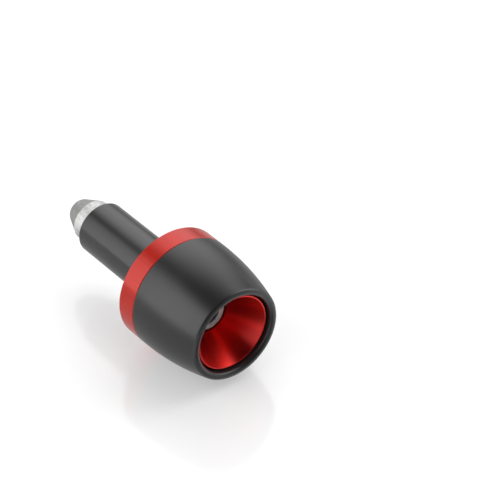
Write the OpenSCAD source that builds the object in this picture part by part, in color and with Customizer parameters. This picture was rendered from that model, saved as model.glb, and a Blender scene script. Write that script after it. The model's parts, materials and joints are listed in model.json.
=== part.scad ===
// Bar end weight: an expanding plug carries a turned barrel on the end of a handlebar tube.
// The turning axis is X, +X points out of the mouth, and the origin is where the ring meets the bar's end.

/* [Accent ring] */
// Outer diameter of the ring, and of the barrel where they meet
ring_d = 33; // [28:0.5:40]
// Width of the ring along the axis
ring_w = 6.2; // [4:0.1:10]
// Chamfer on both rims of the ring
ring_chamfer = 0.15; // [0.1:0.05:0.6]
// Diameter of the ring's spigot inside the barrel
ring_spigot_d = 18; // [16:0.5:24]
// Height of the ring's spigot
ring_spigot_h = 1; // [0.5:0.1:1.4]
// Depth of the recess in the ring's back face that the sleeve stands in
sleeve_seat = 1; // [0.5:0.1:2]

/* [Weight body] */
// Length of the barrel from the ring to the front of its lip
body_len = 22.7; // [21:0.1:30]
// Outer diameter of the barrel at its lip
lip_d = 27.2; // [26:0.2:31]
// Diameter of the mouth inside the lip
mouth_d = 22.8; // [22.4:0.1:25]
// Radius of the barrel's long convex side
side_curve_r = 79; // [60:1:200]
// Chamfer on the barrel's rim at the ring
body_chamfer = 0.15; // [0.1:0.05:0.5]
// Thickness of the barrel's wall between the ring and the funnel
body_web = 3.2; // [2.6:0.1:5]

/* [Inner cone] */
// Gap all round the funnel's rim, inside the mouth
rim_gap = 0.45; // [0.1:0.05:0.8]
// Depth of the rim below the front of the barrel's lip
rim_depth = 1.6; // [0.5:0.1:3]
// Bevel on the outside of the funnel's rim
rim_bevel = 0.15; // [0.1:0.05:0.4]
// Width of the flat front land of the funnel's rim
rim_land = 0.3; // [0.1:0.05:0.6]
// Wall of the funnel, square to its slope
cone_wall = 1.3; // [0.8:0.1:2]
// Floor of the funnel under the screw's head
cone_floor = 2; // [1.5:0.1:3]
// Wall of the boss round the screw's head
boss_wall = 2; // [1.5:0.1:2.4]
// Gap all round the screw's head
head_gap = 0.55; // [0.2:0.05:0.8]

/* [Clamp screw] */
// Nominal diameter of the screw's thread
thread_d = 6; // [5:0.5:7]
// Diameter of the screw's head
head_d = 10; // [9:0.25:11]
// Height of the screw's head
head_h = 6; // [5:0.25:7]
// How far the screw reaches past the sleeve into the nut before it is tightened
screw_bite = 2.4; // [1:0.2:5]
// Hexagon size across its flats
hex_af = 5; // [4:0.5:6]
// Depth of the hexagon socket
hex_depth = 3; // [2:0.25:4]
// Angle of one corner of the hexagon about the axis
hex_turn = 40; // [0:1:59]
// Width of the countersink outside the hexagon's corners
hex_mouth = 0.25; // [0.1:0.05:0.5]
// Chamfer on the head and on the screw's tip
screw_chamfer = 0.5; // [0.2:0.1:0.8]

/* [Expansion sleeve] */
// Outer diameter of the rubber sleeve
sleeve_d = 15.1; // [14:0.1:19]
// Length of the rubber sleeve behind the ring
sleeve_len = 31.2; // [28:0.1:36]
// Rounding of the sleeve's free end
sleeve_round = 0.3; // [0.2:0.1:1]
// How much thinner the sleeve's neck is in the ring's recess, across the radius
neck_step = 0.3; // [0.1:0.05:0.5]

/* [Expander nut] */
// Diameter of the nut's band behind the sleeve
nut_d = 12; // [11.2:0.1:14]
// Length of the band behind the sleeve
nut_band = 4.4; // [3:0.1:8]
// Length of the nut's blunt cone
nut_cone_len = 6.4; // [5.5:0.1:9]
// Slope of the cone, in degrees from the axis
nut_cone_angle = 23; // [22:0.2:28]
// Rounding of the cone's tip
nut_tip_r = 1.7; // [0.8:0.1:2]
// Wall of the tapered spigot at its nose, inside the sleeve
wedge_wall = 1.25; // [0.8:0.05:1.5]
// Gain of radius from the spigot's nose to its root
wedge_taper = 0.7; // [0.3:0.1:0.9]
// Length of the tapered spigot
wedge_len = 8.5; // [6:0.5:10]
// Solid left at the nut's tip beyond its blind hole
nut_end_wall = 2.2; // [2:0.1:3]

/* [Fits] */
// Radial gap between a locating spigot or boss and its seat
seat_gap = 0.05; // [0.02:0.01:0.1]
// Radial gap between the sleeve and the edge of the ring's recess
recess_gap = 0.1; // [0.05:0.05:0.3]
// Gap between the sloping walls of the funnel and its pocket
cone_gap = 0.12; // [0.05:0.01:0.25]
// Radial gap between the screw and the holes it only passes through
hole_gap = 0.3; // [0.1:0.05:0.5]
// Radial gap between the screw and the nut's thread
thread_gap = 0.05; // [0.02:0.01:0.1]
// Gap between the nut's spigot and the sleeve before it is tightened
wedge_gap = 0.15; // [0.05:0.05:0.3]

/* [Hidden] */

body_colour = [0.17, 0.17, 0.18];
red_colour = [0.72, 0.02, 0.03];
rubber_colour = [0.22, 0.22, 0.23];
steel_colour = [0.66, 0.65, 0.64];
nut_colour = [0.78, 0.78, 0.77];

turn_fn = 128;
side_fn = 1440;
round_fn = 64;
// A cut runs this far past the surface it opens
past = 1;

// Places along the axis, from the ring's back face
body_back = ring_w;
body_front = body_back + body_len;
pocket_floor = body_back + body_web;
head_seat = pocket_floor + cone_floor;
head_top = head_seat + head_h;
rim_front = body_front - rim_depth;
sleeve_end = -sleeve_len;
screw_tip = sleeve_end - screw_bite;
band_end = sleeve_end - nut_band;
tip_end = band_end - nut_cone_len;
wedge_nose = sleeve_end + wedge_len;

// Radii about the axis
ring_r = ring_d / 2;
mouth_r = mouth_d / 2;
rim_r = mouth_r - rim_gap;
hole_r = thread_d / 2 + hole_gap;
sleeve_r = sleeve_d / 2;
well_r = head_d / 2 + head_gap;
boss_r = well_r + boss_wall;
nut_bore_r = thread_d / 2 + thread_gap;
wedge_nose_r = nut_bore_r + wedge_wall;
wedge_root_r = wedge_nose_r + wedge_taper;

// The lip is a full round between the barrel's outside and the mouth
lip_r = (lip_d - mouth_d) / 4;
lip_centre = [mouth_r + lip_r, body_front - lip_r];

// The funnel's slope runs from the screw's well to the rim's land
funnel_top_r = rim_r - rim_bevel - rim_land;
funnel_slope = (funnel_top_r - well_r) / (rim_front - head_top);
funnel_wall_r = cone_wall * sqrt(1 + funnel_slope * funnel_slope);

// Place along the axis where the funnel's slope, or a wall grown from it, has a given radius
function slope_x(r, grow = 0) = head_top + (r - grow - well_r) / funnel_slope;

// Point at distance rp from p and rq from q, on the side nearer the axis
function arc_centre(p, rp, q, rq) =
    let (
        span = norm(q - p),
        along = (span * span + rp * rp - rq * rq) / (2 * span),
        away = sqrt(rp * rp - along * along),
        step = (q - p) / span
    )
    p + along * step + away * [-step[1], step[0]];

side_start = [ring_r, body_back];
side_centre = arc_centre(side_start, side_curve_r, lip_centre, side_curve_r - lip_r);
lip_away = (lip_centre - side_centre) / norm(lip_centre - side_centre);

// Profiles are drawn with their radius along x and their place on the axis along y
module turned() {
    rotate([0, 90, 0])
        rotate_extrude($fn = turn_fn)
            children();
}

// A rectangle from one radius and place to another
module band(r0, r1, x0, x1) {
    translate([r0, x0])
        square([r1 - r0, x1 - x0]);
}

// The triangle that a chamfer cuts from an outer rim; face is +1 for the front rim, -1 for the back rim
module rim_cut(r, x, size, face) {
    polygon([
        [r - size, x],
        [r + past, x - face * (size + past)],
        [r + past, x + face * past],
        [r - size, x + face * past]
    ]);
}

// The barrel's outside: one long arc that runs into the full round of the lip
module body_outline() {
    intersection() {
        translate(side_centre)
            circle(r = side_curve_r, $fn = side_fn);
        polygon([
            [0, body_back],
            [ring_r + past, body_back],
            lip_centre + lip_away * (lip_r + past),
            lip_centre,
            [0, lip_centre[1]]
        ]);
    }
    translate(lip_centre)
        circle(r = lip_r, $fn = round_fn);
}

// The stepped pocket that the funnel drops into, and the hole for the screw
module body_hollow() {
    pocket_boss_r = boss_r + seat_gap;
    pocket_grow = funnel_wall_r + cone_gap;
    polygon([
        [0, pocket_floor],
        [pocket_boss_r, pocket_floor],
        [pocket_boss_r, slope_x(pocket_boss_r, pocket_grow)],
        [mouth_r, slope_x(mouth_r, pocket_grow)],
        [mouth_r, lip_centre[1]],
        [lip_centre[0], body_front + past],
        [0, body_front + past]
    ]);
    band(0, hole_r, body_back - past, pocket_floor + past);
    band(0, ring_spigot_d / 2 + seat_gap, body_back - past, body_back + ring_spigot_h + seat_gap);
}

module weight_body() {
    color(body_colour)
        turned() {
            difference() {
                body_outline();
                difference() {
                    body_hollow();
                    translate(lip_centre)
                        circle(r = lip_r, $fn = round_fn);
                }
                rim_cut(ring_r, body_back, body_chamfer, -1);
            }
        }
}

module accent_ring() {
    color(red_colour)
        turned() {
            difference() {
                union() {
                    band(hole_r, ring_r, 0, ring_w);
                    band(hole_r, ring_spigot_d / 2, ring_w - past, ring_w + ring_spigot_h);
                }
                rim_cut(ring_r, 0, ring_chamfer, -1);
                rim_cut(ring_r, ring_w, ring_chamfer, 1);
                band(0, sleeve_r + recess_gap, -past, sleeve_seat);
            }
        }
}

module inner_cone() {
    color(red_colour)
        turned()
            polygon([
                [hole_r, pocket_floor],
                [boss_r, pocket_floor],
                [boss_r, slope_x(boss_r, funnel_wall_r)],
                [rim_r, slope_x(rim_r, funnel_wall_r)],
                [rim_r, rim_front - rim_bevel],
                [rim_r - rim_bevel, rim_front],
                [funnel_top_r, rim_front],
                [well_r, head_top],
                [well_r, head_seat],
                [hole_r, head_seat]
            ]);
}

module clamp_screw() {
    shank_r = thread_d / 2;
    head_r = head_d / 2;
    corner_r = hex_af / sqrt(3);
    mouth_corner_r = corner_r + hex_mouth;
    color(steel_colour)
        difference() {
            turned()
                polygon([
                    [0, screw_tip],
                    [shank_r - screw_chamfer, screw_tip],
                    [shank_r, screw_tip + screw_chamfer],
                    [shank_r, head_seat],
                    [head_r, head_seat],
                    [head_r, head_top - screw_chamfer],
                    [head_r - screw_chamfer, head_top],
                    [0, head_top]
                ]);
            translate([head_top - hex_depth, 0, 0])
                rotate([hex_turn, 0, 0])
                    rotate([0, 90, 0])
                        cylinder(h = hex_depth + past, r = corner_r, $fn = 6);
            // A 120 degree countersink breaks the hexagon's edges
            turned()
                polygon([
                    [0, head_top - mouth_corner_r / tan(60)],
                    [mouth_corner_r + past * tan(60), head_top + past],
                    [0, head_top + past]
                ]);
        }
}

module expansion_sleeve() {
    pocket_root_r = wedge_root_r + wedge_gap;
    pocket_nose_r = wedge_nose_r + wedge_gap;
    color(rubber_colour)
        turned() {
            difference() {
                union() {
                    band(0, sleeve_r, sleeve_end + sleeve_round, 0);
                    band(0, sleeve_r - sleeve_round, sleeve_end, 0);
                    band(0, sleeve_r - neck_step, sleeve_end + sleeve_round, sleeve_seat);
                    translate([sleeve_r - sleeve_round, sleeve_end + sleeve_round])
                        circle(r = sleeve_round, $fn = round_fn);
                }
                band(0, hole_r, sleeve_end - past, sleeve_seat + past);
                polygon([
                    [0, sleeve_end],
                    [0, wedge_nose + wedge_gap],
                    [pocket_nose_r, wedge_nose + wedge_gap],
                    [pocket_root_r, sleeve_end],
                    [pocket_root_r, sleeve_end - past],
                    [0, sleeve_end - past]
                ]);
            }
        }
}

module expander_nut() {
    nut_r = nut_d / 2;
    slope = tan(nut_cone_angle);
    // The tip's round touches both the end face and the cone
    round_x = tip_end + nut_tip_r;
    round_centre = [nut_r - (band_end - round_x) * slope - nut_tip_r / cos(nut_cone_angle), round_x];
    touch = round_centre + nut_tip_r * [cos(nut_cone_angle), -sin(nut_cone_angle)];
    color(nut_colour)
        turned() {
            difference() {
                union() {
                    polygon([
                        [0, tip_end],
                        [round_centre[0], tip_end],
                        round_centre,
                        touch,
                        [nut_r, band_end],
                        [nut_r, sleeve_end],
                        [wedge_root_r, sleeve_end],
                        [wedge_nose_r, wedge_nose],
                        [0, wedge_nose]
                    ]);
                    translate(round_centre)
                        circle(r = nut_tip_r, $fn = round_fn);
                }
                band(0, nut_bore_r, tip_end + nut_end_wall, wedge_nose + past);
            }
        }
}

weight_body();
accent_ring();
inner_cone();
clamp_screw();
expansion_sleeve();
expander_nut();
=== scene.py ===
# Bar end weight: the finish of each turned piece, the studio and the camera, round the fixed model.

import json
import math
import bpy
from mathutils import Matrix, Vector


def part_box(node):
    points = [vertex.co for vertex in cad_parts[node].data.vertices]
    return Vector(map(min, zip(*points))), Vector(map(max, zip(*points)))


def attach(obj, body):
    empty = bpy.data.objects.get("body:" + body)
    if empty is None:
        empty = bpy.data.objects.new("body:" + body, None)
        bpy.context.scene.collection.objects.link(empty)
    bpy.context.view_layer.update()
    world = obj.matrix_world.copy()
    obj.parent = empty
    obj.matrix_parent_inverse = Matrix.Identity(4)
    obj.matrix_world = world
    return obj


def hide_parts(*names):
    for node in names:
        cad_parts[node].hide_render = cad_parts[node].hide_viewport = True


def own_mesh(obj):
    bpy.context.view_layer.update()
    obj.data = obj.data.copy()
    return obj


bl_info = {
    "name": "Bar end weight",
    "version": (1, 0, 0),
    "blender": (4, 5, 0),
    "location": "View3D > Sidebar > Bar End",
    "description": "Builds the visible pieces of a bar end weight and lights them",
    "category": "Object",
}

import bmesh
import bpy
from mathutils import Matrix, Vector

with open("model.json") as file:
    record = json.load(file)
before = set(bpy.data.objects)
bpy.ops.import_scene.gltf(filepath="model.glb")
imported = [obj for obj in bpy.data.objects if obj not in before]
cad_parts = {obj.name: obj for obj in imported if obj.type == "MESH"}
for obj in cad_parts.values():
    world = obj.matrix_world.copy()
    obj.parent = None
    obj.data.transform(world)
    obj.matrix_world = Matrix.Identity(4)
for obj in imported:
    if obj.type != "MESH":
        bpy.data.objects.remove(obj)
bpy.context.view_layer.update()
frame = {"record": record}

MM = 0.001


# Places and sizes that the fixed model gives, in metres

def low(node):
    """Lowest place of a node along the axis."""
    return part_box(node)[0][0]


def high(node):
    """Highest place of a node along the axis."""
    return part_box(node)[1][0]


def reach(node):
    """Outer radius of a turned node."""
    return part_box(node)[1][2]


RING_R = reach("accent_ring")
BODY_BACK = low("weight_body")
BODY_FRONT = high("weight_body")
POCKET_FLOOR = low("inner_cone")
RIM_FRONT = high("inner_cone")
RIM_R = reach("inner_cone")
HEAD_TOP = high("clamp_screw")
HEAD_R = reach("clamp_screw")
SCREW_TIP = low("clamp_screw")
SLEEVE_END = low("expansion_sleeve")
SLEEVE_FRONT = high("expansion_sleeve")
SLEEVE_R = reach("expansion_sleeve")
TIP_END = low("expander_nut")
WEDGE_NOSE = high("expander_nut")
NUT_R = reach("expander_nut")
RING_SPIGOT_END = high("accent_ring")

# The nut is drawn this far at the end of its joint's travel
DRAW = next(j for j in frame["record"]["behaviour"]["joints"] if j["name"] == "nut_draw")["range_m"][1]

# Share of its length that the sleeve keeps when the nut is drawn in
KEPT_LENGTH = 1 - DRAW / (SLEEVE_FRONT - SLEEVE_END)


# Properties

class BarEndSizes(bpy.types.PropertyGroup):
    """Sizes that the visible pieces add to the fixed model."""

    lip_d: bpy.props.FloatProperty(
        name="Lip diameter", description="Outer diameter of the barrel at its lip",
        default=27.2 * MM, unit="LENGTH")
    mouth_d: bpy.props.FloatProperty(
        name="Mouth diameter", description="Diameter of the mouth inside the lip",
        default=22.8 * MM, unit="LENGTH")
    side_curve_r: bpy.props.FloatProperty(
        name="Side curve", description="Radius of the barrel's long convex side",
        default=79 * MM, unit="LENGTH")
    body_chamfer: bpy.props.FloatProperty(
        name="Barrel chamfer", description="Chamfer on the barrel's rim at the ring",
        default=0.05 * MM, unit="LENGTH")
    ring_chamfer: bpy.props.FloatProperty(
        name="Ring chamfer", description="Chamfer on both rims of the ring",
        default=0.25 * MM, unit="LENGTH")
    spigot_r: bpy.props.FloatProperty(
        name="Spigot radius", description="Radius of the ring's spigot in the barrel",
        default=9 * MM, unit="LENGTH")
    recess_gap: bpy.props.FloatProperty(
        name="Recess gap", description="Gap between the sleeve and the edge of the ring's recess",
        default=0.1 * MM, unit="LENGTH")
    neck_step: bpy.props.FloatProperty(
        name="Neck step", description="How much thinner the sleeve's neck is in the ring's recess",
        default=0.3 * MM, unit="LENGTH")
    hole_r: bpy.props.FloatProperty(
        name="Screw hole radius", description="Radius of the holes that the screw passes through",
        default=3.3 * MM, unit="LENGTH")
    seat_gap: bpy.props.FloatProperty(
        name="Seat gap", description="Gap between a locating boss and its seat",
        default=0.05 * MM, unit="LENGTH")
    cone_gap: bpy.props.FloatProperty(
        name="Cone gap", description="Gap between the funnel's wall and its pocket",
        default=0.12 * MM, unit="LENGTH")
    boss_r: bpy.props.FloatProperty(
        name="Boss radius", description="Radius of the funnel's boss round the screw's head",
        default=7.55 * MM, unit="LENGTH")
    rim_bevel: bpy.props.FloatProperty(
        name="Rim bevel", description="Bevel on the outside of the funnel's rim",
        default=0.15 * MM, unit="LENGTH")
    rim_land: bpy.props.FloatProperty(
        name="Rim land", description="Flat front land of the funnel's rim",
        default=0.3 * MM, unit="LENGTH")
    cone_wall: bpy.props.FloatProperty(
        name="Funnel wall", description="Wall of the funnel, square to its slope",
        default=1.3 * MM, unit="LENGTH")
    cone_floor: bpy.props.FloatProperty(
        name="Funnel floor", description="Floor of the funnel under the screw's head",
        default=2 * MM, unit="LENGTH")
    head_gap: bpy.props.FloatProperty(
        name="Head gap", description="Gap all round the screw's head",
        default=0.55 * MM, unit="LENGTH")
    head_h: bpy.props.FloatProperty(
        name="Head height", description="Height of the screw's head",
        default=6 * MM, unit="LENGTH")
    shank_r: bpy.props.FloatProperty(
        name="Thread radius", description="Outer radius of the screw's thread",
        default=3 * MM, unit="LENGTH")
    thread_pitch: bpy.props.FloatProperty(
        name="Thread pitch", description="Pitch of the screw's thread",
        default=1 * MM, unit="LENGTH")
    thread_len: bpy.props.FloatProperty(
        name="Thread length", description="Threaded length from the screw's tip",
        default=24 * MM, unit="LENGTH")
    screw_chamfer: bpy.props.FloatProperty(
        name="Head chamfer", description="Chamfer on the screw's head",
        default=0.3 * MM, unit="LENGTH")
    hex_af: bpy.props.FloatProperty(
        name="Hexagon", description="Hexagon socket across its flats",
        default=5 * MM, unit="LENGTH")
    hex_depth: bpy.props.FloatProperty(
        name="Socket depth", description="Depth of the hexagon socket",
        default=3 * MM, unit="LENGTH")
    socket_mouth_r: bpy.props.FloatProperty(
        name="Socket mouth", description="Radius of the dark countersink round the hexagon",
        default=3.14 * MM, unit="LENGTH")
    hex_turn: bpy.props.FloatProperty(
        name="Hexagon turn", description="Turn of the hexagon about the axis",
        default=math.radians(40), subtype="ANGLE")
    sleeve_round: bpy.props.FloatProperty(
        name="Sleeve rounding", description="Rounding of the sleeve's free end",
        default=0.3 * MM, unit="LENGTH")
    nut_band: bpy.props.FloatProperty(
        name="Nut band", description="Length of the nut's band behind the sleeve",
        default=4.4 * MM, unit="LENGTH")
    nut_cone_angle: bpy.props.FloatProperty(
        name="Nut cone angle", description="Slope of the nut's cone from the axis",
        default=math.radians(23), subtype="ANGLE")
    nut_tip_r: bpy.props.FloatProperty(
        name="Tip rounding", description="Rounding of the nut's tip",
        default=1.7 * MM, unit="LENGTH")
    wedge_root_r: bpy.props.FloatProperty(
        name="Wedge root", description="Root radius of the nut's spigot",
        default=5 * MM, unit="LENGTH")
    wedge_nose_r: bpy.props.FloatProperty(
        name="Wedge nose", description="Nose radius of the nut's spigot",
        default=4.3 * MM, unit="LENGTH")
    wedge_gap: bpy.props.FloatProperty(
        name="Wedge gap", description="Gap between the nut's spigot and the sleeve",
        default=0.15 * MM, unit="LENGTH")
    nut_end_wall: bpy.props.FloatProperty(
        name="Nut end wall", description="Solid left beyond the nut's blind hole",
        default=2.2 * MM, unit="LENGTH")
    thread_gap: bpy.props.FloatProperty(
        name="Thread gap", description="Gap between the screw and the nut's thread",
        default=0.05 * MM, unit="LENGTH")


def colour(label, words, value):
    """A colour property with its name and description."""
    return bpy.props.FloatVectorProperty(
        name=label, description=words, default=value, size=3, min=0.0, max=1.0, subtype="COLOR")


class BarEndColours(bpy.types.PropertyGroup):
    """Colours of the finishes, with painted shade in the screw's socket and on the nut's cone."""

    dark: colour("Dark anodised", "Colour of the barrel", (0.015, 0.015, 0.016))
    red: colour("Red ring", "Colour of the anodised ring", (0.46, 0.018, 0.010))
    funnel: colour("Red funnel", "Colour of the anodised funnel", (0.72, 0.017, 0.012))
    rubber: colour("Rubber", "Colour of the expanding sleeve", (0.030, 0.030, 0.031))
    steel: colour("Screw steel", "Colour of the clamping screw", (0.55, 0.68, 0.68))
    # Painted shade: the socket's near black stands in for the shade deep in the hexagon
    socket: colour("Socket", "Colour of the hexagon's walls and countersink", (0.06, 0.07, 0.07))
    raw: colour("Raw aluminium", "Colour of the expander nut's band", (0.80, 0.80, 0.79))
    # Painted shade: the cone is the band's raw aluminium, painted darker where it slopes away from the light
    cone: colour("Raw cone", "Colour of the expander nut's cone", (0.50, 0.50, 0.49))
    paper: colour("Floor", "Colour of the studio floor", (0.93, 0.93, 0.93))


class BarEndStudio(bpy.types.PropertyGroup):
    """The floor, the lamps and the camera."""

    lens: bpy.props.FloatProperty(
        name="Lens", description="Focal length of the camera in millimetres, on a 36 mm sensor",
        default=180.0, min=20.0)
    camera_place: bpy.props.FloatVectorProperty(
        name="Camera", description="Place of the camera", default=(0.42848, -0.30734, 0.39913),
        size=3, unit="LENGTH")
    azimuth: bpy.props.FloatProperty(
        name="Azimuth", description="Turn of the camera round the part",
        default=math.radians(52.04), subtype="ANGLE")
    elevation: bpy.props.FloatProperty(
        name="Elevation", description="Height of the camera's view as an angle",
        default=math.radians(36.41), subtype="ANGLE")
    side_light: bpy.props.FloatProperty(
        name="Side light", description="Brightness of the softbox at the side", default=2.32, min=0.0)
    back_light: bpy.props.FloatProperty(
        name="Back light", description="Brightness of the softbox behind", default=1.88, min=0.0)
    front_light: bpy.props.FloatProperty(
        name="Front light", description="Brightness of the low softbox in front", default=0.06, min=0.0)
    right_low_light: bpy.props.FloatProperty(
        name="Low right light", description="Brightness of the low softbox on the right",
        default=0.6, min=0.0)
    top_light: bpy.props.FloatProperty(
        name="Top light", description="Brightness of the high softbox before the mouth", default=0.6, min=0.0)
    back_right_light: bpy.props.FloatProperty(
        name="Back right light", description="Brightness of the low softbox behind on the right",
        default=0.68, min=0.0)
    right_light: bpy.props.FloatProperty(
        name="Right light", description="Brightness of the softbox on the far right", default=2.6, min=0.0)
    room_light: bpy.props.FloatProperty(
        name="Room light", description="Light that the room sheds all round", default=0.45, min=0.0)
    room_shine: bpy.props.FloatProperty(
        name="Room shine", description="Brightness of the room in reflections", default=0.03, min=0.0)


def sizes():
    return bpy.context.scene.bar_end_sizes


def colours():
    return bpy.context.scene.bar_end_colours


def studio():
    return bpy.context.scene.bar_end_studio


# Outlines of the turned pieces, as points (place along the axis, radius)

ROUND_STEPS = 20
SIDE_STEPS = 40
TURN_STEPS = 240


def arc(centre, radius, start, end, steps):
    """Points along an arc, with angles in radians from the axis."""
    points = []
    for i in range(steps + 1):
        angle = start + (end - start) * i / steps
        points.append((centre[0] + radius * math.cos(angle), centre[1] + radius * math.sin(angle)))
    return points


def arc_centre(p, rp, q, rq):
    """The point at distance rp from p and rq from q, on the side nearer the axis."""
    p = Vector(p)
    q = Vector(q)
    span = (q - p).length
    step = (q - p) / span
    along = (span ** 2 + rp ** 2 - rq ** 2) / (2 * span)
    away = math.sqrt(rp ** 2 - along ** 2)
    return p + along * step + away * Vector((step.y, -step.x))


def angle_of(point, centre):
    """Angle of a point seen from a centre."""
    return math.atan2(point[1] - centre[1], point[0] - centre[0])


def funnel_slope(s):
    """Gain of radius along the funnel, from the screw's well to the rim's land."""
    well_r = HEAD_R + s.head_gap
    return (RIM_R - s.rim_bevel - s.rim_land - well_r) / (RIM_FRONT - HEAD_TOP)


def funnel_place(s, radius, grow):
    """Place along the axis where the funnel's slope, grown by a wall, has a given radius."""
    well_r = HEAD_R + s.head_gap
    return HEAD_TOP + (radius - grow - well_r) / funnel_slope(s)


def funnel_grow(s):
    """The funnel's wall, measured across the radius."""
    return s.cone_wall * math.sqrt(1 + funnel_slope(s) ** 2)


def barrel_outline(s):
    """The barrel: its long convex side, the round lip, the funnel's pocket and the spigot's seat."""
    lip_r = (s.lip_d - s.mouth_d) / 4
    mouth_r = s.mouth_d / 2
    lip = (BODY_FRONT - lip_r, mouth_r + lip_r)
    start = (BODY_BACK, RING_R)
    centre = arc_centre(start, s.side_curve_r, lip, s.side_curve_r - lip_r)
    lip_angle = angle_of(lip, centre)
    start_angle = angle_of((BODY_BACK + s.body_chamfer, RING_R), centre)
    pocket_r = s.boss_r + s.seat_gap
    grow = funnel_grow(s) + s.cone_gap
    spigot_r = s.spigot_r + s.seat_gap
    spigot_floor = RING_SPIGOT_END + s.seat_gap
    points = [(BODY_BACK, RING_R - s.body_chamfer)]
    points += arc(centre, s.side_curve_r, start_angle, lip_angle, SIDE_STEPS)
    points += arc(lip, lip_r, lip_angle, -math.pi / 2, ROUND_STEPS * 2)[1:]
    points += [
        (funnel_place(s, mouth_r, grow), mouth_r),
        (funnel_place(s, pocket_r, grow), pocket_r),
        (POCKET_FLOOR, pocket_r),
        (POCKET_FLOOR, s.hole_r),
        (spigot_floor, s.hole_r),
        (spigot_floor, spigot_r),
        (BODY_BACK, spigot_r),
    ]
    return points


def ring_outline(s):
    """The ring: its chamfered rims, the spigot in front and the sleeve's recess behind."""
    cut = s.ring_chamfer
    recess_r = SLEEVE_R + s.recess_gap
    return [
        (SLEEVE_FRONT, s.hole_r),
        (SLEEVE_FRONT, recess_r),
        (0.0, recess_r),
        (0.0, RING_R - cut),
        (cut, RING_R),
        (BODY_BACK - cut, RING_R),
        (BODY_BACK, RING_R - cut),
        (BODY_BACK, s.spigot_r),
        (RING_SPIGOT_END, s.spigot_r),
        (RING_SPIGOT_END, s.hole_r),
    ]


def funnel_outline(s):
    """The funnel: its boss, the even wall, the rim with bevel and land, and the screw's well."""
    grow = funnel_grow(s)
    well_r = HEAD_R + s.head_gap
    seat = POCKET_FLOOR + s.cone_floor
    return [
        (POCKET_FLOOR, s.hole_r),
        (POCKET_FLOOR, s.boss_r),
        (funnel_place(s, s.boss_r, grow), s.boss_r),
        (funnel_place(s, RIM_R, grow), RIM_R),
        (RIM_FRONT - s.rim_bevel, RIM_R),
        (RIM_FRONT, RIM_R - s.rim_bevel),
        (RIM_FRONT, RIM_R - s.rim_bevel - s.rim_land),
        (HEAD_TOP, well_r),
        (seat, well_r),
        (seat, s.hole_r),
    ]


def sleeve_outline(s):
    """The sleeve: its rounded free end, the neck in the ring and the tapered pocket for the nut."""
    root_r = s.wedge_root_r + s.wedge_gap
    nose_r = s.wedge_nose_r + s.wedge_gap
    # Deep enough for the nut's nose when the sleeve is squeezed
    floor = SLEEVE_FRONT - (SLEEVE_FRONT - WEDGE_NOSE - DRAW - s.wedge_gap) / KEPT_LENGTH
    corner = (SLEEVE_END + s.sleeve_round, SLEEVE_R - s.sleeve_round)
    points = [(SLEEVE_END, root_r)]
    points += arc(corner, s.sleeve_round, math.pi, math.pi / 2, ROUND_STEPS)
    points += [
        (0.0, SLEEVE_R),
        (0.0, SLEEVE_R - s.neck_step),
        (SLEEVE_FRONT, SLEEVE_R - s.neck_step),
        (SLEEVE_FRONT, s.hole_r),
        (floor, s.hole_r),
        (floor, nose_r),
    ]
    return points


def nut_outline(s):
    """The nut: its rounded tip, the cone, the band, the tapered spigot and the blind hole."""
    band_end = SLEEVE_END - s.nut_band
    slope = math.tan(s.nut_cone_angle)
    round_x = TIP_END + s.nut_tip_r
    round_r = NUT_R - (band_end - round_x) * slope - s.nut_tip_r / math.cos(s.nut_cone_angle)
    bore_r = s.shank_r + s.thread_gap
    touch = math.pi / 2 + s.nut_cone_angle
    points = [(TIP_END, 0.0)]
    points += arc((round_x, round_r), s.nut_tip_r, math.pi, touch, ROUND_STEPS)
    points += [
        (band_end, NUT_R),
        (SLEEVE_END, NUT_R),
        (SLEEVE_END, s.wedge_root_r),
        (WEDGE_NOSE, s.wedge_nose_r),
        (WEDGE_NOSE, bore_r),
        (TIP_END + s.nut_end_wall, bore_r),
        (TIP_END + s.nut_end_wall, 0.0),
    ]
    return points


# Mesh building

def turned_points(place, radius, steps, start):
    """One ring of points round the axis."""
    points = []
    for i in range(steps):
        angle = start + 2 * math.pi * i / steps
        points.append((place, -radius * math.sin(angle), radius * math.cos(angle)))
    return points


def ring_of(mesh, place, radius, steps, start):
    """One ring of vertices round the axis."""
    return [mesh.verts.new(p) for p in turned_points(place, radius, steps, start)]


def join_rings(mesh, first, second):
    """Faces between two rings of vertices; a ring of one vertex closes to a point."""
    steps = max(len(first), len(second))
    for i in range(steps):
        corners = []
        for ring, at in ((first, i), (first, i + 1), (second, i + 1), (second, i)):
            vertex = ring[at % len(ring)]
            if vertex not in corners:
                corners.append(vertex)
        mesh.faces.new(corners)


CREASE_ANGLE = math.radians(14)


def finish_mesh(mesh, name):
    """Turns a bmesh into a smooth object with sharp creases."""
    bmesh.ops.recalc_face_normals(mesh, faces=mesh.faces)
    data = bpy.data.meshes.new(name)
    mesh.to_mesh(data)
    mesh.free()
    data.shade_smooth()
    data.set_sharp_from_angle(angle=CREASE_ANGLE)
    piece = bpy.data.objects.new(name, data)
    bpy.context.scene.collection.objects.link(piece)
    return piece


def turned_piece(name, outline, closed):
    """A solid of revolution about the axis. An open outline starts and ends on the axis."""
    mesh = bmesh.new()
    rings = []
    for place, radius in outline:
        if radius == 0.0:
            rings.append([mesh.verts.new((place, 0.0, 0.0))])
        else:
            rings.append(ring_of(mesh, place, radius, TURN_STEPS, 0.0))
    for first, second in zip(rings, rings[1:]):
        join_rings(mesh, first, second)
    if closed:
        join_rings(mesh, rings[-1], rings[0])
    return finish_mesh(mesh, name)


# The screw's mesh

SCREW_STEPS = 120
THREAD_SLICES = 8

# Depth of a metric thread, as a share of its pitch
THREAD_DEPTH = 0.6134

# Turns over which the thread grows to its full depth at the tip
THREAD_START = 2.0

# Depth of the drilled cone under the hexagon's walls
DRILL_CONE = 0.8 * MM

# Slope of the 120 degree countersink round the hexagon
COUNTERSINK_SLOPE = math.tan(math.radians(30))


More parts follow.
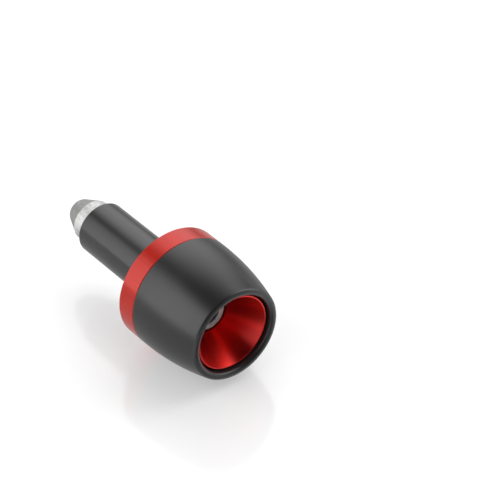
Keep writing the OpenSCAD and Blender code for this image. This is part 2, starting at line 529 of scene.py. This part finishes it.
def screw_piece(s):
    """The screw: threaded shank, chamfered head and a hexagon socket with a countersunk mouth."""
    mesh = bmesh.new()
    steps = SCREW_STEPS
    seat = HEAD_TOP - s.head_h
    root_r = s.shank_r - THREAD_DEPTH * s.thread_pitch
    thread_end = SCREW_TIP + s.thread_len
    rings = [[mesh.verts.new((SCREW_TIP, 0.0, 0.0))]]
    rings.append(ring_of(mesh, SCREW_TIP, root_r, steps, s.hex_turn))
    rings += thread_rings(mesh, s, root_r, thread_end, steps)
    rings.append(ring_of(mesh, thread_end + s.thread_pitch, s.shank_r, steps, s.hex_turn))
    rings.append(ring_of(mesh, seat, s.shank_r, steps, s.hex_turn))
    rings.append(ring_of(mesh, seat, HEAD_R, steps, s.hex_turn))
    rings.append(ring_of(mesh, HEAD_TOP - s.screw_chamfer, HEAD_R, steps, s.hex_turn))
    rings.append(ring_of(mesh, HEAD_TOP, HEAD_R - s.screw_chamfer, steps, s.hex_turn))
    rings.append(ring_of(mesh, HEAD_TOP, s.socket_mouth_r, steps, s.hex_turn))
    rings.append(hexagon_ring(mesh, s, steps, at_mouth=True))
    rings.append(hexagon_ring(mesh, s, steps, at_mouth=False))
    rings.append([mesh.verts.new((HEAD_TOP - s.hex_depth - DRILL_CONE, 0.0, 0.0))])
    for first, second in zip(rings, rings[1:]):
        join_rings(mesh, first, second)
    mesh.faces.ensure_lookup_table()
    # The countersink, the hexagon's walls and its floor are the last three bands of faces; they take the
    # socket's painted shade
    for face in mesh.faces[-3 * steps:]:
        face.material_index = 1
    return finish_mesh(mesh, "screw")


def thread_rings(mesh, s, root_r, end, steps):
    """Rings of the threaded stretch, whose crest climbs by one pitch in each turn."""
    rings = []
    depth = s.shank_r - root_r
    slices = THREAD_SLICES
    turns = int((end - SCREW_TIP) / s.thread_pitch)
    for k in range(1, turns * slices):
        place = SCREW_TIP + s.thread_pitch * k / slices
        ring = []
        for i in range(steps):
            phase = (k / slices - i / steps) % 1.0
            fade = min(1.0, k / (THREAD_START * slices))
            height = depth * fade * (1 - abs(2 * phase - 1))
            angle = s.hex_turn + 2 * math.pi * i / steps
            radius = root_r + height
            ring.append(mesh.verts.new((place, -radius * math.sin(angle), radius * math.cos(angle))))
        rings.append(ring)
    return rings


def hexagon_ring(mesh, s, steps, at_mouth):
    """A ring on the socket's walls: where they meet the countersink, or at the socket's floor."""
    ring = []
    sixth = math.pi / 3
    for i in range(steps):
        turn = 2 * math.pi * i / steps
        radius = s.hex_af / 2 / math.cos(turn % sixth - sixth / 2)
        place = HEAD_TOP - s.hex_depth
        if at_mouth:
            place = HEAD_TOP - (s.socket_mouth_r - radius) * COUNTERSINK_SLOPE
        angle = s.hex_turn + turn
        ring.append(mesh.verts.new((place, -radius * math.sin(angle), radius * math.cos(angle))))
    return ring


# Materials

class Nodes:
    """A short way to add and join the nodes of one material."""

    def __init__(self, name):
        self.material = bpy.data.materials.new(name)
        self.material.use_nodes = True
        self.tree = self.material.node_tree
        self.shader = self.tree.nodes["Principled BSDF"]
        self.place = self.add("ShaderNodeTexCoord").outputs["Object"]

    def add(self, kind, **values):
        node = self.tree.nodes.new(kind)
        for key, value in values.items():
            setattr(node, key, value)
        return node

    def join(self, source, target):
        self.tree.links.new(source, target)

    def mapping(self, scale):
        node = self.add("ShaderNodeMapping")
        node.inputs["Scale"].default_value = scale
        self.join(self.place, node.inputs["Vector"])
        return node.outputs["Vector"]

    def noise(self, scale, detail=2.0, rough=0.5, vector=None):
        node = self.add("ShaderNodeTexNoise")
        node.inputs["Scale"].default_value = scale
        node.inputs["Detail"].default_value = detail
        node.inputs["Roughness"].default_value = rough
        self.join(vector or self.place, node.inputs["Vector"])
        return node.outputs["Fac"]

    def ramp(self, source, low_value, high_value, start=0.3, end=0.7):
        node = self.add("ShaderNodeMapRange")
        node.inputs["From Min"].default_value = start
        node.inputs["From Max"].default_value = end
        node.inputs["To Min"].default_value = low_value
        node.inputs["To Max"].default_value = high_value
        self.join(source, node.inputs["Value"])
        return node.outputs["Result"]

    def blend(self, factor, first, second):
        node = self.add("ShaderNodeMix", data_type="RGBA")
        node.inputs["A"].default_value = (*first, 1.0)
        node.inputs["B"].default_value = (*second, 1.0)
        self.join(factor, node.inputs["Factor"])
        return node.outputs["Result"]

    def bump(self, height, strength, distance):
        node = self.add("ShaderNodeBump")
        node.inputs["Strength"].default_value = strength
        node.inputs["Distance"].default_value = distance
        self.join(height, node.inputs["Height"])
        return node.outputs["Normal"]

    def lathe_lines(self, fine, coarse):
        """Heights that change along the axis and across the radius, and are even round it."""
        split = self.add("ShaderNodeSeparateXYZ")
        self.join(self.place, split.inputs["Vector"])
        flat = self.add("ShaderNodeCombineXYZ")
        self.join(split.outputs["Y"], flat.inputs["Y"])
        self.join(split.outputs["Z"], flat.inputs["Z"])
        length = self.add("ShaderNodeVectorMath", operation="LENGTH")
        self.join(flat.outputs["Vector"], length.inputs[0])
        line = self.add("ShaderNodeCombineXYZ")
        self.join(split.outputs["X"], line.inputs["X"])
        self.join(length.outputs["Value"], line.inputs["Y"])
        lines = self.noise(fine, 3.0, 0.6, line.outputs["Vector"])
        waves = self.noise(coarse, 2.0, 0.5, line.outputs["Vector"])
        both = self.add("ShaderNodeMath", operation="ADD")
        self.join(lines, both.inputs[0])
        self.join(waves, both.inputs[1])
        half = self.add("ShaderNodeMath", operation="MULTIPLY")
        half.inputs[1].default_value = 0.5
        self.join(both.outputs["Value"], half.inputs[0])
        return half.outputs["Value"]

    def set(self, **values):
        for key, value in values.items():
            self.shader.inputs[key.replace("_", " ")].default_value = value

    def tint(self, value, spread, factor):
        """Base colour that drifts a little either side of a value."""
        dim = tuple(c * (1 - spread) for c in value)
        bright = tuple(min(1.0, c * (1 + spread)) for c in value)
        share = self.ramp(factor, 0.0, 1.0, 0.35, 0.65)
        self.join(self.blend(share, dim, bright), self.shader.inputs["Base Color"])

    def turning_tangent(self):
        """Turning lines run round the axis and spread the light across them."""
        node = self.add("ShaderNodeTangent", direction_type="RADIAL", axis="X")
        self.join(node.outputs["Tangent"], self.shader.inputs["Tangent"])
        self.set(Anisotropic_Rotation=0.25)


def dark_anodised(c):
    """Blasted and dark anodised aluminium: satin, with a very fine grain."""
    n = Nodes("dark_anodised")
    grain = n.noise(scale=9000.0, detail=2.0, rough=0.6)
    cloud = n.noise(scale=120.0, detail=3.0, rough=0.5)
    n.tint(c.dark, 0.04, cloud)
    n.set(Metallic=0.0, IOR=1.55, Specular_IOR_Level=0.5)
    n.join(n.ramp(cloud, 0.28, 0.32), n.shader.inputs["Roughness"])
    n.join(n.bump(grain, strength=0.10, distance=0.02 * MM), n.shader.inputs["Normal"])
    return n.material


def red_turned(c):
    """Red anodised ring with fine turning lines, and faint streaks that run along the axis."""
    n = Nodes("red_anodised_ring")
    lines = n.lathe_lines(fine=14000.0, coarse=2600.0)
    streaks = n.noise(scale=1500.0, detail=2.0, rough=0.6, vector=n.mapping((0.06, 1.0, 1.0)))
    n.tint(c.red, 0.06, streaks)
    n.set(Metallic=0.25, IOR=1.46, Anisotropic=0.2)
    n.join(n.ramp(lines, 0.16, 0.22), n.shader.inputs["Roughness"])
    n.join(n.bump(lines, strength=0.03, distance=0.01 * MM), n.shader.inputs["Normal"])
    n.turning_tangent()
    return n.material


def red_funnel(c):
    """Red anodised funnel whose turning lines draw the light out into radial streaks."""
    n = Nodes("red_anodised_funnel")
    lines = n.lathe_lines(fine=14000.0, coarse=2200.0)
    n.tint(c.funnel, 0.02, lines)
    n.set(Metallic=0.98, Anisotropic=0.82, Coat_Weight=0.4, Coat_Roughness=0.24, Coat_IOR=1.6)
    n.join(n.ramp(lines, 0.30, 0.31), n.shader.inputs["Roughness"])
    n.turning_tangent()
    return n.material


def screw_steel(c):
    """Plain screw steel, a little uneven."""
    n = Nodes("screw_steel")
    spots = n.noise(scale=1400.0, detail=3.0, rough=0.6)
    n.tint(c.steel, 0.05, spots)
    n.set(Metallic=0.6)
    n.join(n.ramp(spots, 0.26, 0.42), n.shader.inputs["Roughness"])
    n.join(n.bump(spots, strength=0.12, distance=0.04 * MM), n.shader.inputs["Normal"])
    return n.material


def socket_painted_shade(c):
    """The hexagon's walls, countersink and floor, painted near black as painted shade deep in the socket."""
    n = Nodes("socket_painted_shade")
    spots = n.noise(scale=1400.0, detail=3.0, rough=0.6)
    n.tint(c.socket, 0.10, spots)
    n.set(Metallic=0.6)
    n.join(n.ramp(spots, 0.35, 0.45), n.shader.inputs["Roughness"])
    return n.material


def sleeve_rubber(c):
    """Smooth moulded rubber with a half gloss skin."""
    n = Nodes("sleeve_rubber")
    cloud = n.noise(scale=160.0, detail=2.0, rough=0.5)
    n.tint(c.rubber, 0.03, cloud)
    n.set(Metallic=0.0, IOR=1.52, Specular_IOR_Level=0.5)
    n.join(n.ramp(cloud, 0.18, 0.22), n.shader.inputs["Roughness"])
    return n.material


# Length over which the nut's bright band turns into the cone's painted shade
BAND_EDGE = 0.3 * MM


def raw_aluminium(c):
    """Turned aluminium left raw: a bright band, a cone painted darker as painted shade, tool lines and a
    mottled skin.
    """
    n = Nodes("raw_aluminium")
    lines = n.lathe_lines(fine=9000.0, coarse=1500.0)
    spots = n.noise(scale=1100.0, detail=4.0, rough=0.65, vector=n.mapping((0.5, 1.0, 1.0)))
    split = n.add("ShaderNodeSeparateXYZ")
    n.join(n.place, split.inputs["Vector"])
    band_end = SLEEVE_END - sizes().nut_band
    # Band mask; beyond it the cone takes the darker colour as painted shade
    band = n.ramp(split.outputs["X"], 0.0, 1.0, start=band_end - BAND_EDGE, end=band_end)
    mottled = n.ramp(spots, -1.0, 0.75)
    share = n.add("ShaderNodeMath", operation="ADD", use_clamp=True)
    n.join(band, share.inputs[0])
    n.join(mottled, share.inputs[1])
    n.join(n.blend(share.outputs["Value"], c.cone, c.raw), n.shader.inputs["Base Color"])
    n.set(Metallic=0.9, Specular_Tint=(0.25, 0.25, 0.25, 1.0))
    n.join(n.ramp(spots, 0.52, 0.70), n.shader.inputs["Roughness"])
    mixed = n.add("ShaderNodeMath", operation="ADD")
    n.join(lines, mixed.inputs[0])
    n.join(spots, mixed.inputs[1])
    n.join(n.bump(mixed.outputs["Value"], strength=0.25, distance=0.04 * MM), n.shader.inputs["Normal"])
    n.turning_tangent()
    return n.material


# Operators, one for each piece

class BAREND_OT_barrel(bpy.types.Operator):
    """Turn the dark barrel with its rolled lip"""
    bl_idname = "barend.barrel"
    bl_label = "Barrel"

    def execute(self, context):
        piece = turned_piece("barrel", barrel_outline(sizes()), closed=True)
        piece.data.materials.append(dark_anodised(colours()))
        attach(piece, "weight")
        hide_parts("weight_body")
        return {"FINISHED"}


class BAREND_OT_ring(bpy.types.Operator):
    """Turn the red accent ring"""
    bl_idname = "barend.ring"
    bl_label = "Accent ring"

    def execute(self, context):
        piece = turned_piece("ring", ring_outline(sizes()), closed=True)
        piece.data.materials.append(red_turned(colours()))
        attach(piece, "weight")
        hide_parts("accent_ring")
        return {"FINISHED"}


class BAREND_OT_funnel(bpy.types.Operator):
    """Turn the red funnel in the mouth"""
    bl_idname = "barend.funnel"
    bl_label = "Funnel"

    def execute(self, context):
        piece = turned_piece("funnel", funnel_outline(sizes()), closed=True)
        piece.data.materials.append(red_funnel(colours()))
        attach(piece, "weight")
        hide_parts("inner_cone")
        return {"FINISHED"}


class BAREND_OT_screw(bpy.types.Operator):
    """Make the socket head screw with its thread and its hexagon"""
    bl_idname = "barend.screw"
    bl_label = "Clamping screw"

    def execute(self, context):
        piece = screw_piece(sizes())
        piece.data.materials.append(screw_steel(colours()))
        piece.data.materials.append(socket_painted_shade(colours()))
        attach(piece, "screw")
        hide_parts("clamp_screw")
        return {"FINISHED"}


class BAREND_OT_sleeve(bpy.types.Operator):
    """Mould the rubber sleeve at its full length; the real sleeve shortens as the nut is drawn in"""
    bl_idname = "barend.sleeve"
    bl_label = "Rubber sleeve"

    def execute(self, context):
        piece = turned_piece("sleeve", sleeve_outline(sizes()), closed=True)
        piece.data.materials.append(sleeve_rubber(colours()))
        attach(piece, "weight")
        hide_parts("expansion_sleeve")
        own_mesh(piece)
        return {"FINISHED"}


class BAREND_OT_nut(bpy.types.Operator):
    """Turn the expander nut with its blunt cone"""
    bl_idname = "barend.nut"
    bl_label = "Expander nut"

    def execute(self, context):
        piece = turned_piece("nut", nut_outline(sizes()), closed=False)
        piece.data.materials.append(raw_aluminium(colours()))
        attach(piece, "nut")
        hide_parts("expander_nut")
        return {"FINISHED"}


# The studio

LAMP_DISTANCE = 0.6
FLOOR_HALF = 3.0


def aim(lamp, place):
    """Puts a lamp at a place, facing the part."""
    lamp.location = place
    lamp.rotation_euler = (-place).to_track_quat("-Z", "Y").to_euler()


def direction(azimuth, elevation):
    """The unit vector at an azimuth and an elevation, in radians."""
    level = math.cos(elevation)
    return Vector((math.sin(azimuth) * level, -math.cos(azimuth) * level, math.sin(elevation)))


def fade_face(data, side_fade, end_fade):
    """Fades a lamp's face over a share of its width and a share of its height on each side."""
    data.use_nodes = True
    nodes = data.node_tree.nodes
    links = data.node_tree.links
    face = nodes.new("ShaderNodeNewGeometry")
    split = nodes.new("ShaderNodeSeparateXYZ")
    links.new(face.outputs["Parametric"], split.inputs["Vector"])
    shares = []
    for source, edge in ((split.outputs["X"], side_fade), (split.outputs["Y"], end_fade)):
        middle = nodes.new("ShaderNodeMath")
        middle.operation = "SUBTRACT"
        middle.inputs[1].default_value = 0.5
        links.new(source, middle.inputs[0])
        away = nodes.new("ShaderNodeMath")
        away.operation = "ABSOLUTE"
        links.new(middle.outputs["Value"], away.inputs[0])
        fade = nodes.new("ShaderNodeMapRange")
        fade.interpolation_type = "SMOOTHSTEP"
        fade.inputs["From Min"].default_value = 0.5
        fade.inputs["From Max"].default_value = 0.5 - edge
        links.new(away.outputs["Value"], fade.inputs["Value"])
        shares.append(fade.outputs["Result"])
    level = nodes.new("ShaderNodeMath")
    level.operation = "MULTIPLY"
    links.new(shares[0], level.inputs[0])
    links.new(shares[1], level.inputs[1])
    links.new(level.outputs["Value"], nodes["Emission"].inputs["Strength"])


def softbox(name, azimuth, elevation, width, height, brightness, side_fade=0.4, end_fade=0.4):
    """A rectangular lamp seen at two angles in degrees from the part. Its width and height are measured
    where its face is half as bright as its middle."""
    data = bpy.data.lights.new(name, "AREA")
    data.shape = "RECTANGLE"
    data.size = width / (1 - side_fade)
    data.size_y = height / (1 - end_fade)
    # Power that gives the face the same brightness whatever its size
    data.energy = brightness * math.pi * data.size * data.size_y
    fade_face(data, side_fade, end_fade)
    lamp = bpy.data.objects.new(name, data)
    bpy.context.scene.collection.objects.link(lamp)
    aim(lamp, direction(math.radians(azimuth), math.radians(elevation)) * LAMP_DISTANCE)


# Brightness of the floor's painted shade in reflections where it isn't white: grey round the part, darker
# before the mouth
PAINTED_SHADE_GLOW = 0.50
PAINTED_SHADOW_GLOW = 0.15

# Share of the floor's look that is glow rather than paper, to the camera and in reflections
SEEN_GLOW_SHARE = 0.30
MIRRORED_GLOW_SHARE = 0.85


def floor_material(c):
    """White paper floor under a thin gloss, with the part's shadow. It glows evenly for the camera.
    In reflections it carries painted shade: grey round the part, a darker painted shadow straight before the
    mouth, and white to the left and to the right of there and farther out."""
    material = bpy.data.materials.new("studio_floor")
    material.use_nodes = True
    nodes = material.node_tree.nodes
    links = material.node_tree.links

    def math_node(operation, first, second):
        node = nodes.new("ShaderNodeMath")
        node.operation = operation
        for socket, value in zip(node.inputs, (first, second)):
            if isinstance(value, float):
                socket.default_value = value
            else:
                links.new(value, socket)
        return node.outputs["Value"]

    shader = nodes["Principled BSDF"]
    grain = nodes.new("ShaderNodeTexNoise")
    grain.inputs["Scale"].default_value = 40.0
    tone = nodes.new("ShaderNodeMapRange")
    tone.inputs["To Min"].default_value = 0.12
    tone.inputs["To Max"].default_value = 0.15
    links.new(grain.outputs["Fac"], tone.inputs["Value"])
    links.new(tone.outputs["Result"], shader.inputs["Roughness"])
    shader.inputs["Base Color"].default_value = (*c.paper, 1.0)
    shader.inputs["IOR"].default_value = 1.7
    place = nodes.new("ShaderNodeTexCoord")

    def edge(heading, start, end):
        """Grows from 0 to 1 along a level heading between two distances."""
        along = nodes.new("ShaderNodeVectorMath")
        along.operation = "DOT_PRODUCT"
        along.inputs[1].default_value = heading
        links.new(place.outputs["Object"], along.inputs[0])
        grow = nodes.new("ShaderNodeMapRange")
        grow.interpolation_type = "SMOOTHSTEP"
        grow.inputs["From Min"].default_value = start
        grow.inputs["From Max"].default_value = end
        links.new(along.outputs["Value"], grow.inputs["Value"])
        return grow.outputs["Result"]

    # Where the floor glows white in reflections; the rest takes painted shade
    forward = (1.0, 0.0, 0.0)
    ahead = edge(forward, 20 * MM, 32 * MM)
    rightward = edge((-0.6, 0.8, 0.0), -23.5 * MM, -16.5 * MM)
    leftward = edge((0.0, -1.0, 0.0), 22 * MM, 32 * MM)
    beside = math_node("MULTIPLY", ahead, math_node("MAXIMUM", rightward, leftward))
    white = math_node("MAXIMUM", beside, edge(forward, 95 * MM, 115 * MM))
    before_mouth = edge(forward, 38 * MM, 48 * MM)
    # Painted shadow in reflections, straight before the mouth where the floor isn't white
    dark = math_node("MULTIPLY", before_mouth, math_node("SUBTRACT", 1.0, white))
    glow_with_painted_shade = math_node("ADD", math_node("MULTIPLY", white, 1.0 - PAINTED_SHADE_GLOW), PAINTED_SHADE_GLOW)
    glow_with_painted_shadow = math_node("SUBTRACT", glow_with_painted_shade, math_node("MULTIPLY", dark, PAINTED_SHADE_GLOW - PAINTED_SHADOW_GLOW))
    path = nodes.new("ShaderNodeLightPath")
    seen = path.outputs["Is Camera Ray"]
    mirrored = path.outputs["Is Glossy Ray"]
    glow = nodes.new("ShaderNodeEmission")
    strength = math_node("ADD", seen, math_node("MULTIPLY", mirrored, glow_with_painted_shadow))
    seen_share = math_node("MULTIPLY", seen, SEEN_GLOW_SHARE)
    mirrored_share = math_node("MULTIPLY", mirrored, MIRRORED_GLOW_SHARE)
    share = math_node("ADD", seen_share, mirrored_share)
    links.new(strength, glow.inputs["Strength"])
    mix = nodes.new("ShaderNodeMixShader")
    links.new(share, mix.inputs["Fac"])
    links.new(shader.outputs["BSDF"], mix.inputs[1])
    links.new(glow.outputs["Emission"], mix.inputs[2])
    links.new(mix.outputs["Shader"], nodes["Material Output"].inputs["Surface"])
    return material


class BAREND_OT_stage(bpy.types.Operator):
    """Set the floor, the lamps, the room and the camera"""
    bl_idname = "barend.stage"
    bl_label = "Stage"

    def execute(self, context):
        scene = context.scene
        st = studio()
        mesh = bpy.data.meshes.new("floor")
        half = FLOOR_HALF
        z = -RING_R
        corners = [(-half, -half, z), (half, -half, z), (half, half, z), (-half, half, z)]
        mesh.from_pydata(corners, [], [(0, 1, 2, 3)])
        floor = bpy.data.objects.new("floor", mesh)
        scene.collection.objects.link(floor)
        mesh.materials.append(floor_material(colours()))
        set_lamps(st)
        set_room(scene, st)
        set_camera(scene, st)
        scene.view_settings.view_transform = "Standard"
        return {"FINISHED"}


def set_lamps(st):
    """The seven softboxes that stand round the part."""
    softbox("side_softbox", azimuth=-20, elevation=14.5, width=0.79, height=0.90,
            brightness=st.side_light, side_fade=0.49, end_fade=0.31)
    softbox("back_softbox", azimuth=-126.5, elevation=40, width=0.59, height=0.61,
            brightness=st.back_light, side_fade=0.40, end_fade=0.47)
    softbox("right_softbox", azimuth=163, elevation=38, width=0.36, height=0.50,
            brightness=st.right_light)
    softbox("low_front_softbox", azimuth=42, elevation=6, width=0.80, height=0.16,
            brightness=st.front_light)
    softbox("low_right_softbox", azimuth=139, elevation=13, width=0.58, height=0.28,
            brightness=st.right_low_light)
    softbox("top_front_softbox", azimuth=131, elevation=44, width=0.26, height=0.30,
            brightness=st.top_light)
    softbox("back_right_softbox", azimuth=175, elevation=9, width=0.72, height=0.20,
            brightness=st.back_right_light, side_fade=0.15, end_fade=0.40)


def set_room(scene, st):
    """The room: white to the camera, dark in reflections, and a soft light to everything else."""
    world = bpy.data.worlds.new("room")
    scene.world = world
    world.use_nodes = True
    nodes = world.node_tree.nodes
    links = world.node_tree.links
    light = nodes["Background"]
    light.inputs["Color"].default_value = (1.0, 1.0, 1.0, 1.0)
    light.inputs["Strength"].default_value = st.room_light
    shine = nodes.new("ShaderNodeBackground")
    shine.inputs["Color"].default_value = (1.0, 1.0, 1.0, 1.0)
    shine.inputs["Strength"].default_value = st.room_shine
    white = nodes.new("ShaderNodeBackground")
    white.inputs["Color"].default_value = (1.0, 1.0, 1.0, 1.0)
    white.inputs["Strength"].default_value = 1.0
    path = nodes.new("ShaderNodeLightPath")
    unseen = nodes.new("ShaderNodeMixShader")
    links.new(path.outputs["Is Glossy Ray"], unseen.inputs["Fac"])
    links.new(light.outputs["Background"], unseen.inputs[1])
    links.new(shine.outputs["Background"], unseen.inputs[2])
    seen = nodes.new("ShaderNodeMixShader")
    links.new(path.outputs["Is Camera Ray"], seen.inputs["Fac"])
    links.new(unseen.outputs["Shader"], seen.inputs[1])
    links.new(white.outputs["Background"], seen.inputs[2])
    links.new(seen.outputs["Shader"], nodes["World Output"].inputs["Surface"])


def set_camera(scene, st):
    """The camera, from its place and its two angles."""
    data = bpy.data.cameras.new("camera")
    data.sensor_width = 36.0
    data.lens = st.lens
    data.clip_end = 10.0
    camera = bpy.data.objects.new("camera", data)
    scene.collection.objects.link(camera)
    back = direction(st.azimuth, st.elevation)
    right = Vector((math.cos(st.azimuth), math.sin(st.azimuth), 0.0))
    up = back.cross(right)
    turn = Matrix((right, up, back)).transposed().to_4x4()
    camera.matrix_world = Matrix.Translation(Vector(st.camera_place)) @ turn
    scene.camera = camera


class BAREND_PT_panel(bpy.types.Panel):
    """The bar end weight's pieces and settings"""
    bl_idname = "BAREND_PT_panel"
    bl_label = "Bar end weight"
    bl_space_type = "VIEW_3D"
    bl_region_type = "UI"
    bl_category = "Bar End"

    def draw(self, context):
        layout = self.layout
        for operator in OPERATORS:
            layout.operator(operator.bl_idname)
        for group in (context.scene.bar_end_sizes, context.scene.bar_end_colours,
                      context.scene.bar_end_studio):
            box = layout.box()
            for name in group.__annotations__:
                box.prop(group, name)


OPERATORS = (
    BAREND_OT_stage,
    BAREND_OT_barrel,
    BAREND_OT_ring,
    BAREND_OT_funnel,
    BAREND_OT_screw,
    BAREND_OT_sleeve,
    BAREND_OT_nut,
)
CLASSES = (BarEndSizes, BarEndColours, BarEndStudio) + OPERATORS + (BAREND_PT_panel,)


def register():
    for cls in CLASSES:
        bpy.utils.register_class(cls)
    bpy.types.Scene.bar_end_sizes = bpy.props.PointerProperty(type=BarEndSizes)
    bpy.types.Scene.bar_end_colours = bpy.props.PointerProperty(type=BarEndColours)
    bpy.types.Scene.bar_end_studio = bpy.props.PointerProperty(type=BarEndStudio)


def unregister():
    del bpy.types.Scene.bar_end_studio
    del bpy.types.Scene.bar_end_colours
    del bpy.types.Scene.bar_end_sizes
    for cls in reversed(CLASSES):
        bpy.utils.unregister_class(cls)


def main():
    register()
    bpy.ops.barend.stage()
    bpy.ops.barend.barrel()
    bpy.ops.barend.ring()
    bpy.ops.barend.funnel()
    bpy.ops.barend.screw()
    bpy.ops.barend.sleeve()
    bpy.ops.barend.nut()


if __name__ == "__main__":
    main()
